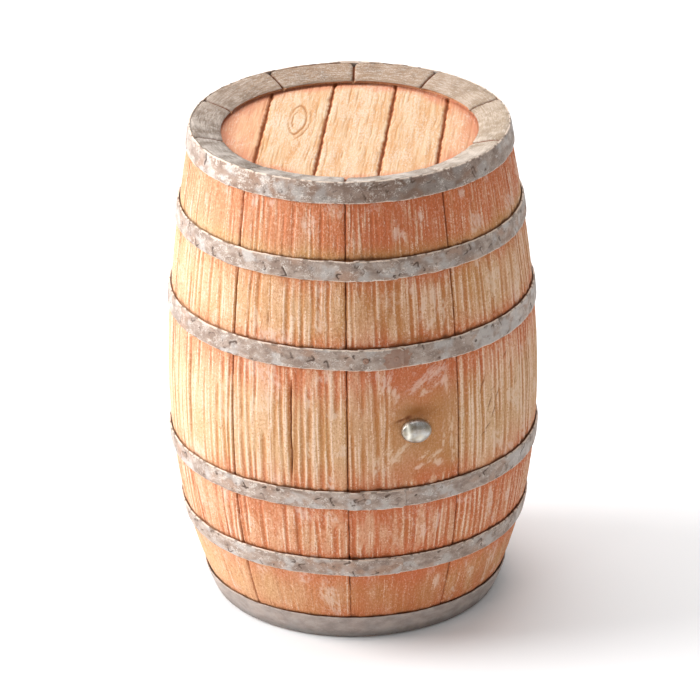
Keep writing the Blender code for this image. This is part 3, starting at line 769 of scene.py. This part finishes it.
def build_bung(oak, plug_material, cap_material):
    """The stave with its hole, the plug and the cap. Hole, plug and cap are turned, then laid along -Y."""
    at = Matrix.Translation((0, -float(outer_radius(BUNG_HEIGHT)), BUNG_HEIGHT))
    place = at @ Matrix.Rotation(math.radians(90), 4, "X")
    wide, narrow = BUNG_RADII
    taper = (wide - narrow) / BUNG_LENGTH
    deep = -BUNG_LENGTH
    low, high = deep - BORE_OVERRUN, BORE_OVERRUN
    rows = [(0.0004, low), (wide + GAP + taper * low, low), (wide + GAP + taper * high, high), (0.0004, high)]
    hole = turned_mesh("bung_bore", rows, 72)
    hole.transform(place)
    mesh = bore(build_stave(0), hole)
    paint(0, mesh)
    new_piece("bung_stave", mesh, oak, "barrel")

    hollow = BUNG_HOLLOW_RADIUS
    rows = [(0.0004, -BUNG_CROWN), (hollow - 0.002, -BUNG_CROWN), (hollow, -BUNG_CROWN - 0.002)]
    rows += [(hollow, z) for z in np.linspace(-BUNG_CROWN - 0.004, deep + 0.001, 6)]
    rows += [(hollow + 0.0008, deep), (narrow - 0.0008, deep), (narrow - 0.0002, deep + 0.0006)]
    rows += [(wide + taper * z - 0.0001, z) for z in np.linspace(deep + 0.002, -0.001, 14)]
    rows += [(wide - 0.0008, -0.0002), (0.0004, -0.0002)]
    plug = turned_mesh("bung_plug_moulded", rows, 72)
    plug.transform(place)
    new_piece("bung_plug", plug, plug_material, "bung", sharp=40)

    reach = CAP_HALF_HEIGHT
    rows = [(0.0004, 0.0003), (reach - 0.0010, 0.0003), (reach - 0.0002, 0.0008)]
    for a in np.linspace(0.04, math.pi / 2 - 0.03, 22):
        rows.append((reach * abs(math.cos(a)) ** 0.86, 0.0006 + CAP_RISE * abs(math.sin(a)) ** 0.90))
    cap = turned_mesh("bung_cap_polished", rows, 96, CAP_HALF_WIDTH / reach)
    x, y, z = mesh_points(cap).T
    out = smooth(0.001, 0.006, z)
    z = z + 0.0005 * out * noise2(x / 0.011 + 4, y / 0.011, 81)
    x = x + 0.0006 * out * noise2(z / 0.010, y / 0.012 + 5, 82)
    sine, cosine = math.sin(math.radians(CAP_ASKEW_DEG)), math.cos(math.radians(CAP_ASKEW_DEG))
    x, y = x * cosine - y * sine, x * sine + y * cosine
    set_points(cap, np.stack([x, y, z], axis=1))
    # Painted highlight and painted reflections on the cap: a bright bar on the left and a pale patch low in
    # the middle, a dark band beside the bar and a darker upper right.
    upper = smooth(-0.006, 0.006, y)
    dark_reflection_band = bell(x + 0.006 + 0.002 * noise1(y / 0.006, 83), 0.0034) * upper
    left = bell(x + 0.0190 + 0.0012 * noise1(y / 0.005, 85), 0.0031) * smooth(-0.016, -0.008, y)
    set_attributes(
        cap,
        (x, y, z),
        rim=smooth(0.006, 0.001, z),
        tarnish=np.maximum(0.9 * dark_reflection_band, 0.55 * upper * smooth(-0.006, 0.004, x) * smooth(0.024, 0.012, x)),
        scoured=np.maximum(left, 0.60 * bell(np.hypot(x - 0.003, y + 0.010), 0.0080)),
    )
    cap.transform(place)
    new_piece("bung_cap", cap, cap_material, "bung", sharp=40)


# Materials ----------


def rgb(red, green, blue):
    """Linear colour from 8-bit sRGB values."""
    srgb = np.array([red, green, blue]) / 255
    linear = np.where(srgb <= 0.04045, srgb / 12.92, ((srgb + 0.055) / 1.055) ** 2.4)
    return (*map(float, linear), 1.0)


def add_node(tree, kind, inputs, **settings):
    """A shader node whose inputs are wires, sockets or plain values."""
    node = tree.nodes.new("ShaderNode" + kind)
    for key, value in settings.items():
        setattr(node, key, value)
    for key, value in inputs.items():
        value = getattr(value, "socket", value)
        if isinstance(value, bpy.types.NodeSocket):
            tree.links.new(value, node.inputs[key])
        else:
            node.inputs[key].default_value = value
    return node


class Wire:
    """A number that a node gives, so that a material can be written as sums and products."""

    def __init__(self, tree, socket):
        self.tree, self.socket = tree, socket

    def math(self, operation, a, b):
        return Wire(self.tree, add_node(self.tree, "Math", {0: a, 1: b}, operation=operation).outputs[0])

    def __add__(self, other):
        return self.math("ADD", self, other)

    def __sub__(self, other):
        return self.math("SUBTRACT", self, other)

    def __rsub__(self, other):
        return self.math("SUBTRACT", other, self)

    def __mul__(self, other):
        return self.math("MULTIPLY", self, other)

    def most(self, other):
        return self.math("MAXIMUM", self, other)

    def step(self, low, high, top=1.0, bottom=0.0):
        """Bottom below low, top above high, and a smooth step between."""
        inputs = {"Value": self, "From Min": low, "From Max": high, "To Min": bottom, "To Max": top}
        node = add_node(self.tree, "MapRange", inputs, interpolation_type="SMOOTHSTEP")
        return Wire(self.tree, node.outputs["Result"])


class Finish:
    """A material: a colour built up in coats, then its relief and its gloss."""

    def __init__(self, name, roughness, metallic=0.0, specular=0.5):
        self.material = bpy.data.materials.new(name)
        self.material.use_nodes = True
        self.tree = self.material.node_tree
        self.shader = self.tree.nodes["Principled BSDF"]
        self.shader.inputs["Roughness"].default_value = roughness
        self.shader.inputs["Metallic"].default_value = metallic
        self.shader.inputs["Specular IOR Level"].default_value = specular
        self.colour = None

    def node(self, kind, inputs, **settings):
        return add_node(self.tree, kind, inputs, **settings)

    def values(self, names):
        """The mesh's own attributes."""
        nodes = [self.node("Attribute", {}, attribute_name=name) for name in names.split()]
        return [Wire(self.tree, node.outputs["Fac"]) for node in nodes]

    def place(self, scale, source=None):
        """Coordinates along the grain, or from another source, at so many knots to the metre."""
        source = source or self.node("Attribute", {}, attribute_name="grain").outputs["Vector"]
        return self.node("VectorMath", {0: source, 1: scale}, operation="MULTIPLY").outputs[0]

    def noise(self, scale, detail=3.0, roughness=0.55, distortion=0.0, source=None):
        inputs = {"Vector": self.place(scale, source), "Scale": 1.0, "Detail": detail}
        inputs.update({"Roughness": roughness, "Distortion": distortion})
        return Wire(self.tree, self.node("TexNoise", inputs).outputs["Fac"])

    def mix(self, factor, a, b):
        """A colour between two others, each one a wire or 8-bit sRGB values."""
        a, b = (rgb(*c) if isinstance(c, tuple) else c for c in (a, b))
        node = self.node("Mix", {"Factor": factor, 6: a, 7: b}, data_type="RGBA")
        return Wire(self.tree, node.outputs[2])

    def coat(self, factor, colour):
        self.colour = self.mix(factor, self.colour, colour)

    def finish(self, height, distance, strength, roughness=None):
        self.tree.links.new(self.colour.socket, self.shader.inputs["Base Color"])
        bump = self.node("Bump", {"Height": height, "Distance": distance, "Strength": strength})
        self.tree.links.new(bump.outputs["Normal"], self.shader.inputs["Normal"])
        if roughness is not None:
            self.tree.links.new(roughness.socket, self.shader.inputs["Roughness"])
        return self.material


def stave_oak():
    f = Finish("carved_oak", 0.72, specular=0.25)
    valley, crest, crack, stain, pale, rub = f.values("valley crest crack stain pale rub")
    shade, soot, hatch, tint, ends, tone = f.values("shade soot hatch tint ends tone")
    glow, bleach = f.values("glow bleach")
    fibre = f.noise((430, 40, 17), 4, 0.62)
    sweep = f.noise((170, 25, 20), 3, 0.60)
    dash = f.noise((330, 25, 60), 3, 0.62)
    speck = f.noise((520, 90, 300), 3, 0.70)
    grit = f.noise((900, 120, 700), 2, 0.70)
    blotch = f.noise((26, 10, 14), 2, 0.50)
    mottle = f.noise((300, 60, 190), 4, 0.72)
    bead = f.noise((210, 40, 420), 3, 0.75)
    streak = f.noise((46, 10, 420), 3, 0.60)

    # Stains, from the wood up, with painted light on the left side.
    red = (stain + blotch * 0.5).step(0.35, 1.15)
    f.colour = f.mix(red, (208, 156, 98), (212, 120, 74))
    f.coat((pale + blotch * 0.5).step(0.35, 1.2, 0.85), (224, 190, 148))
    # Painted light: a pale cream coat on the left side, which faces the key light, and on the inner faces.
    f.coat(bleach * blotch.step(0.2, 0.8, 0.50, 0.26), (240, 214, 172))
    f.coat(fibre.step(0.46, 0.80, 0.50), (170, 104, 62))
    f.coat(tint, f.mix(red, (182, 116, 66), (192, 98, 58)))
    swept = sweep + rub * 0.55 + valley * -0.45 + shade * -0.5
    f.coat(swept.step(0.50, 0.88, 0.50), (230, 190, 154))
    f.coat(valley.step(0.10, 1.0, 0.64), f.mix(red, (184, 118, 62), (186, 98, 58)))
    f.coat(grit.step(0.56, 0.80, 0.45), (168, 104, 66))
    f.coat(mottle.step(0.50, 0.70, 0.66) * tint.step(0.3, 0.7, 0.55, 1.0), (234, 194, 164))
    f.coat(mottle.step(0.50, 0.30, 0.55), (176, 106, 62))

    # Pale paint dry-brushed on the ridges, with pits and flecks in it.
    brush = crest * 0.24 + rub * 0.50 + dash * 0.55 + speck * 1.05 - (valley + shade) * 0.45
    brush = brush + bead * 0.35 + crest * bead * 0.62
    f.coat(brush.step(1.33, 1.64, 0.88), f.mix(tint, (246, 216, 190), (232, 190, 160)))
    dots = bead * 0.66 + mottle * 0.50 + speck * 0.22
    pits = dots.step(0.64, 0.54, 0.58) * (1.0 - ends * 0.9)
    f.coat(pits, f.mix(red, (170, 112, 66), (168, 92, 54)))
    dots = dots + crest * 0.06 + valley * -0.10
    flecks = dots.step(0.76, 0.87, 0.72) * rub.step(-0.30, 0.45, 1.0, 0.20)
    f.coat(flecks, f.mix(red, (246, 224, 198), (240, 210, 190)))
    # Fewer hatch marks where the painted light lies on the left side.
    hatched = (hatch + speck + bead * 0.5).step(0.90, 1.45, 0.72) * bleach.step(0.0, 0.8, 0.6, 1.0)
    f.coat(hatched, f.mix(red, (228, 196, 166), (226, 184, 164)))
    f.coat(soot * 0.92, (150, 92, 40))
    # Painted shade, with some dirt, along the hoops' edges.
    f.coat(shade.step(0.10, 1.0, 0.82), (104, 62, 34))

    # Grey end grain, browner at the far side, with a painted highlight in warm cream at the right.
    end_wood = f.mix((blotch + streak).step(0.80, 1.24), (154, 142, 132), (204, 193, 184))
    end_wood = f.mix(tone * 0.88, end_wood, (158, 124, 94))
    end_wood = f.mix((mottle + blotch).step(1.02, 0.74, 0.60), end_wood, (118, 98, 82))
    end_wood = f.mix(glow * 0.26, end_wood, (218, 188, 150))
    worn = speck * 0.8 + streak * 0.5 + tone * 0.10
    end_wood = f.mix(worn.step(0.70, 0.92, 0.75), end_wood, (222, 214, 206))
    f.coat(ends.step(0.2, 0.8), end_wood)
    f.coat(crack.step(0.08, 0.90), (124, 68, 34))
    height = fibre * 0.6 + speck * 0.9 + dash * 0.4 + streak * ends * 0.8
    height = height + crest * bead * 0.9 + mottle * 1.2 + bead * 0.5
    return f.finish(height, 0.0013, 1.0, fibre.step(0.2, 0.8, 0.86, 0.62))


def head_oak():
    f = Finish("planed_oak", 0.70, specular=0.25)
    ridge, crack, rim, salmon, knot = f.values("ridge crack rim salmon knot")
    fibre = f.noise((430, 13, 20), 4, 0.62)
    thread = f.noise((130, 9, 20), 3, 0.55, 0.3)
    blotch = f.noise((20, 11, 10), 2, 0.5)
    fleck = f.noise((480, 120, 60), 3, 0.66)
    f.colour = f.mix(thread.step(0.34, 0.66), (204, 154, 108), (214, 180, 144))
    red = (salmon * 0.80).most((rim + blotch * 0.4).step(0.35, 1.2, 0.9))
    f.coat(red, f.mix((thread + rim * -0.35).step(0.15, 0.60), (206, 134, 104), (222, 166, 128)))
    f.coat(fibre.step(0.48, 0.80, 0.45), (172, 118, 80))
    f.coat((1.0 - ridge).step(0.1, 0.9, 0.72), (174, 120, 76))
    brush = fleck * 0.9 + ridge * 0.35 + blotch * 0.4 + red * -0.10
    f.coat(brush.step(0.88, 1.18, 0.75), (222, 204, 184))
    f.coat(knot * 0.80, (168, 116, 74))
    f.coat(crack.step(0.10, 0.75), (170, 98, 56))
    f.coat(crack.step(0.60, 1.0), (134, 74, 40))
    return f.finish(fibre * 0.6 + fleck * 0.5 + thread * 0.6, 0.0011, 0.9, fibre.step(0.2, 0.8, 0.85, 0.60))


def hoop_steel():
    f = Finish("forged_steel", 0.5, metallic=0.15, specular=0.4)
    pit, lip, crest, rust, dirt = f.values("pit lip crest rust dirt")
    bright, dim, calm, low = f.values("bright dim calm low")
    blotch = f.noise((34, 30, 60), 3, 0.60)
    patch = f.noise((90, 60, 130), 3, 0.62)
    fleck = f.noise((340, 160, 420), 3, 0.68)
    warm = f.noise((19, 20, 26), 2, 0.50)
    cool = f.noise((27, 24, 34), 2, 0.50)
    grime = f.noise((230, 150, 300), 3, 0.66)
    bend = f.node("TexNoise", {"Vector": f.place((90, 60, 110)), "Scale": 1.0, "Detail": 2.0})
    bent = f.node("VectorMath", {0: f.place((62, 40, 78)), 1: bend.outputs["Color"]}, operation="ADD")
    hammered = f.node("TexVoronoi", {"Vector": bent.outputs[0], "Scale": 1.0}, feature="SMOOTH_F1")
    facet = Wire(f.tree, hammered.outputs["Distance"])
    cell = Wire(f.tree, f.node("SeparateColor", {"Color": hammered.outputs["Color"]}).outputs[0])
    f.colour = f.mix(blotch.step(0.38, 0.62), (146, 128, 116), (186, 170, 158))
    f.coat(cell.step(0.30, 0.75, 0.50), (138, 118, 106))
    f.coat(warm.step(0.52, 0.68, 0.60), (176, 138, 114))
    # Colour set by how the key light falls on the left side: a browner tone here, and more pale flecks as
    # painted highlights below.
    f.coat(bright * 0.60, (148, 114, 92))
    f.coat(dim * 0.70, (112, 82, 64))
    f.coat(cool.step(0.50, 0.66, 0.70), f.mix(dim, (196, 191, 187), (140, 130, 122)))
    f.coat(patch.step(0.56, 0.72, 0.60), (112, 92, 80))
    f.coat(grime.step(0.56, 0.74, 0.60), (104, 84, 72))
    white = fleck + patch * 0.5 + facet * -0.35 + crest * 0.25 + bright * 0.10
    f.coat(white.step(0.86, 1.16, 0.85), (222, 212, 202))
    f.coat(pit.step(0.08, 0.62, 0.92), (80, 60, 48))
    f.coat((rust + patch * 0.5).step(0.6, 1.1, 0.75), (146, 106, 84))
    # Painted highlight, with edge wear, along the hoop's edges and on the lap's end.
    f.coat((lip + fleck * 0.5).step(0.65, 1.1, 0.85), (232, 212, 194))
    f.coat(dirt.step(0.15, 0.6, 0.70), (96, 72, 56))
    even = f.mix(blotch.step(0.3, 0.7), (146, 136, 130), (172, 160, 153))
    even = f.mix(low.step(0.0, 1.0) * 0.7, even, (96, 92, 90))
    f.coat(calm * 0.80, even)
    return f.finish(fleck * 0.6 + patch * 0.8 + facet * -1.6, 0.0009, 0.8, fleck.step(0.3, 0.7, 0.70, 0.45))


def cap_metal():
    f = Finish("polished_pewter", 0.30, metallic=0.85)
    tarnish, rim, scoured = f.values("tarnish rim scoured")
    cloud = f.noise((46, 60, 60), 2, 0.5)
    fine = f.noise((300, 300, 300), 3, 0.6)
    f.colour = f.mix(cloud.step(0.35, 0.65), (152, 142, 126), (196, 197, 196))
    # Painted reflections (darker) and painted highlight (bright), with a cream edge round the foot.
    f.coat(tarnish * 0.75, (128, 112, 98))
    f.coat(rim * 0.80, (206, 190, 152))
    f.coat(scoured * 0.9, (250, 246, 232))
    return f.finish(cloud, 0.0010, 0.25, fine.step(0.3, 0.7, 0.36, 0.26) + scoured * 0.22)


def silicone():
    f = Finish("tan_silicone", 0.5)
    place = f.node("TexCoord", {}).outputs["Object"]
    speck = f.noise((900, 900, 900), 2.0, 0.5, source=place)
    cloud = f.noise((60, 60, 60), 2.0, 0.5, source=place)
    f.colour = f.mix(cloud.step(0.3, 0.7), (176, 150, 122), (196, 170, 140))
    return f.finish(speck, 0.0003, 0.5, speck.step(0.3, 0.7, 0.6, 0.45))


def peg_oak():
    f = Finish("peg_oak", 0.7)
    fibre = f.noise((90, 900, 900), 3.0, 0.5, source=f.node("TexCoord", {}).outputs["Object"])
    f.colour = f.mix(fibre.step(0.3, 0.7), (150, 104, 64), (204, 158, 108))
    return f.finish(fibre, 0.0004, 0.6)


# Build ----------

oak, steel, board_oak, pegs = stave_oak(), hoop_steel(), head_oak(), peg_oak()
build_bung(oak, silicone(), cap_metal())
for number, stave_name in enumerate(STAVE_NAMES[1:], 1):
    stave_mesh = build_stave(number)
    paint(number, stave_mesh)
    new_piece(stave_name, stave_mesh, oak, "barrel")
for hoop_name in HOOPS:
    build_hoop(hoop_name, steel)
    build_rivets(hoop_name, steel)
for head_end in HEADS:
    build_head(head_end, board_oak)
for node_name, node_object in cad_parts.items():
    if "_dowel_" in node_name:
        node_object.data.materials.clear()
        node_object.data.materials.append(pegs)

# Floor, light and camera ----------

VIEW_AZIMUTH_DEG = -19.0
ELEVATION_DEG = 24.4
DISTANCE = 10.12
LENS_MM = 272.6
SENSOR_MM = 36.0
SHIFT_X = -2.7 / 700
ROLL_DEG = -0.79
LOOK_AT = Vector((0, 0, 0.477))
FLOOR_HALF = 30
WORLD_STRENGTH = 0.485
# Azimuth from the camera's, elevation, distance, width, height and power of each area light.
LIGHTS = {
    "key": (-92, 27, 6.5, 4.6, 4.6, 590),
    "top": (-170, 72, 8.0, 7.0, 7.0, 400),
    "strip": (-34, 24, 5.0, 0.20, 2.0, 9),
}


def direction(azimuth, elevation):
    """Unit vector towards a camera or light at that azimuth and elevation, in degrees."""
    a, e = math.radians(azimuth), math.radians(elevation)
    return Vector((math.sin(a) * math.cos(e), -math.cos(a) * math.cos(e), math.sin(e)))


corners = [(x, y, 0) for x, y in ((-1, -1), (1, -1), (1, 1), (-1, 1))]
floor_mesh = bpy.data.meshes.new("floor")
floor_mesh.from_pydata([Vector(c) * FLOOR_HALF for c in corners], [], [(0, 1, 2, 3)])
floor_finish = Finish("floor_white", 0.9, specular=0.1)
floor_finish.shader.inputs["Base Color"].default_value = rgb(250, 250, 251)
floor_mesh.materials.append(floor_finish.material)
add_object("floor", floor_mesh)

scene.world = bpy.data.worlds.new("studio")
scene.world.use_nodes = True
background = scene.world.node_tree.nodes["Background"].inputs
background["Color"].default_value = (1.0, 1.0, 1.0, 1.0)
background["Strength"].default_value = WORLD_STRENGTH
scene.view_settings.view_transform = "Standard"
for light_name, (azimuth, elevation, distance, width, height, power) in LIGHTS.items():
    data = bpy.data.lights.new(light_name, "AREA")
    data.shape, data.energy, data.size, data.size_y = "ELLIPSE", power, width, height
    light, towards = add_object(light_name, data), direction(VIEW_AZIMUTH_DEG + azimuth, elevation)
    light.location = LOOK_AT + towards * distance
    light.rotation_euler = towards.to_track_quat("Z", "Y").to_euler()

camera_data = bpy.data.cameras.new("camera")
camera_data.lens, camera_data.sensor_width, camera_data.shift_x = LENS_MM, SENSOR_MM, SHIFT_X
camera = scene.camera = add_object("camera", camera_data)
view_from = direction(VIEW_AZIMUTH_DEG, ELEVATION_DEG)
camera.location = LOOK_AT + view_from * DISTANCE
aim = view_from.to_track_quat("Z", "Y").to_matrix() @ Matrix.Rotation(math.radians(ROLL_DEG), 3, "Z")
camera.rotation_euler = aim.to_euler()
